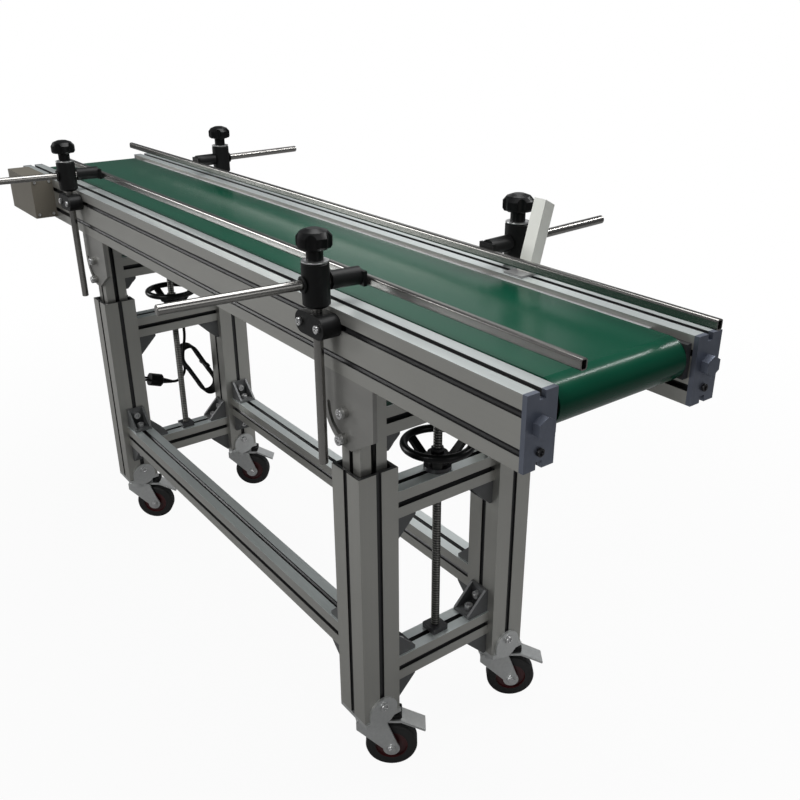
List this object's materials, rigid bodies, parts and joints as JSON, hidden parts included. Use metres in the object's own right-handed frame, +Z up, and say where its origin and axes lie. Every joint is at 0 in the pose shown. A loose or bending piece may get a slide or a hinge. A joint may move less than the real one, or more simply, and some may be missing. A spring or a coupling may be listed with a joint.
{
  "type": "mini belt conveyor",
  "caption": "Small flat-belt conveyor with slotted aluminium side rails on two telescoping leg frames, with screw lifts, adjustable side guides and swivel casters.",
  "frame": {"origin": "on the floor, at the middle of the whole machine's length and width", "axes": "+X along the belt towards the idler end, +Y across it to the right, +Z up"},
  "size_m": [1.587, 0.6884, 0.7938],
  "materials": {
    "profile": "satin anodised",
    "casting": "cast, bead blasted",
    "plate": "grey, satin",
    "black_plastic": "black, lightly textured",
    "dark_metal": "dark, matt",
    "bed_steel": "sheet steel",
    "steel": "bright ground steel",
    "belt": "green, smooth, semi-gloss",
    "cord": "black, matt",
    "plug_plastic": "black, smooth",
    "cover": "grey-beige, satin",
    "box": "pale grey",
    "fork_steel": "zinc plated pressing",
    "tyre": "black rubber on a dark red hub"
  },
  "bodies": {
    "frame": {"outer_leg_near_left": "profile", "outer_leg_near_right": "profile", "outer_leg_far_left": "profile", "outer_leg_far_right": "profile", "cross_beams_near": "profile", "cross_beams_far": "profile", "long_beams": "profile", "gussets_near": "casting", "gussets_far": "casting", "foot_brackets": "plate", "screw_bearings": "dark_metal", "leg_bushes": "black_plastic", "cord_clip": "plug_plastic", "power_cord": "cord", "cord_hank": "cord", "plug": "plug_plastic"},
    "deck": {"inner_legs_near": "profile", "inner_legs_far": "profile", "lift_beams": "profile", "lift_gussets": "casting", "tilt_plates_left": "plate", "tilt_plates_right": "plate", "rail_left": "profile", "rail_right": "profile", "end_plates": "plate", "deck_bed": "bed_steel", "bearing_blocks": "dark_metal", "idler_roller": "steel", "drive_roller": "steel", "belt": "belt", "drive_cover": "cover", "drive_motor": "dark_metal", "control_box": "box", "guide_clamps_left": "black_plastic", "guide_clamps_right": "black_plastic"},
    "screw_near": {"lead_screw_near": "steel", "handwheel_near": "black_plastic"},
    "screw_far": {"lead_screw_far": "steel", "handwheel_far": "black_plastic"},
    "guide_left_height": {"guide_posts_left": "steel", "guide_heads_left": "black_plastic", "guide_knobs_left": "black_plastic"},
    "guide_left_width": {"cross_rods_left": "steel", "guide_clips_left": "black_plastic", "guide_rail_left": "steel"},
    "guide_right_height": {"guide_posts_right": "steel", "guide_heads_right": "black_plastic", "guide_knobs_right": "black_plastic"},
    "guide_right_width": {"cross_rods_right": "steel", "guide_clips_right": "black_plastic", "guide_rail_right": "steel"},
    "swivel_near_left": {"fork_near_left": "fork_steel"},
    "wheel_near_left": {"caster_near_left": "tyre"},
    "swivel_near_right": {"fork_near_right": "fork_steel"},
    "wheel_near_right": {"caster_near_right": "tyre"},
    "swivel_far_left": {"fork_far_left": "fork_steel"},
    "wheel_far_left": {"caster_far_left": "tyre"},
    "swivel_far_right": {"fork_far_right": "fork_steel"},
    "wheel_far_right": {"caster_far_right": "tyre"}
  },
  "joints": [
    {"name": "deck_height", "type": "slide", "parent": "frame", "child": "deck", "axis": [0, 0, 1], "range_m": [-0.015, 0.06]},
    {"name": "screw_near_turn", "type": "hinge", "parent": "frame", "child": "screw_near", "pos_m": [0.4655, 0, 0.4], "axis": [0, 0, 1], "continuous": true},
    {"name": "screw_far_turn", "type": "hinge", "parent": "frame", "child": "screw_far", "pos_m": [-0.3945, 0, 0.4], "axis": [0, 0, 1], "continuous": true},
    {"name": "guide_left_lift", "type": "slide", "parent": "deck", "child": "guide_left_height", "axis": [0, 0, 1], "range_m": [0, 0.1]},
    {"name": "guide_left_slide", "type": "slide", "parent": "guide_left_height", "child": "guide_left_width", "axis": [0.0872, 0.9962, 0], "range_m": [0, 0.08]},
    {"name": "guide_right_lift", "type": "slide", "parent": "deck", "child": "guide_right_height", "axis": [0, 0, 1], "range_m": [0, 0.1]},
    {"name": "guide_right_slide", "type": "slide", "parent": "guide_right_height", "child": "guide_right_width", "axis": [0.0872, -0.9962, 0], "range_m": [0, 0.08]},
    {"name": "swivel_near_left_turn", "type": "hinge", "parent": "frame", "child": "swivel_near_left", "pos_m": [0.4655, -0.118, 0.09], "axis": [0, 0, 1], "continuous": true},
    {"name": "wheel_near_left_roll", "type": "hinge", "parent": "swivel_near_left", "child": "wheel_near_left", "pos_m": [0.48355, -0.09404, 0.0375], "axis": [-0.7986, 0.6018, 0], "continuous": true},
    {"name": "swivel_near_right_turn", "type": "hinge", "parent": "frame", "child": "swivel_near_right", "pos_m": [0.4655, 0.118, 0.09], "axis": [0, 0, 1], "continuous": true},
    {"name": "wheel_near_right_roll", "type": "hinge", "parent": "swivel_near_right", "child": "wheel_near_right", "pos_m": [0.48355, 0.14196, 0.0375], "axis": [-0.7986, 0.6018, 0], "continuous": true},
    {"name": "swivel_far_left_turn", "type": "hinge", "parent": "frame", "child": "swivel_far_left", "pos_m": [-0.3945, -0.118, 0.09], "axis": [0, 0, 1], "continuous": true},
    {"name": "wheel_far_left_roll", "type": "hinge", "parent": "swivel_far_left", "child": "wheel_far_left", "pos_m": [-0.37645, -0.09404, 0.0375], "axis": [-0.7986, 0.6018, 0], "continuous": true},
    {"name": "swivel_far_right_turn", "type": "hinge", "parent": "frame", "child": "swivel_far_right", "pos_m": [-0.3945, 0.118, 0.09], "axis": [0, 0, 1], "continuous": true},
    {"name": "wheel_far_right_roll", "type": "hinge", "parent": "swivel_far_right", "child": "wheel_far_right", "pos_m": [-0.37645, 0.14196, 0.0375], "axis": [-0.7986, 0.6018, 0], "continuous": true}
  ]
}
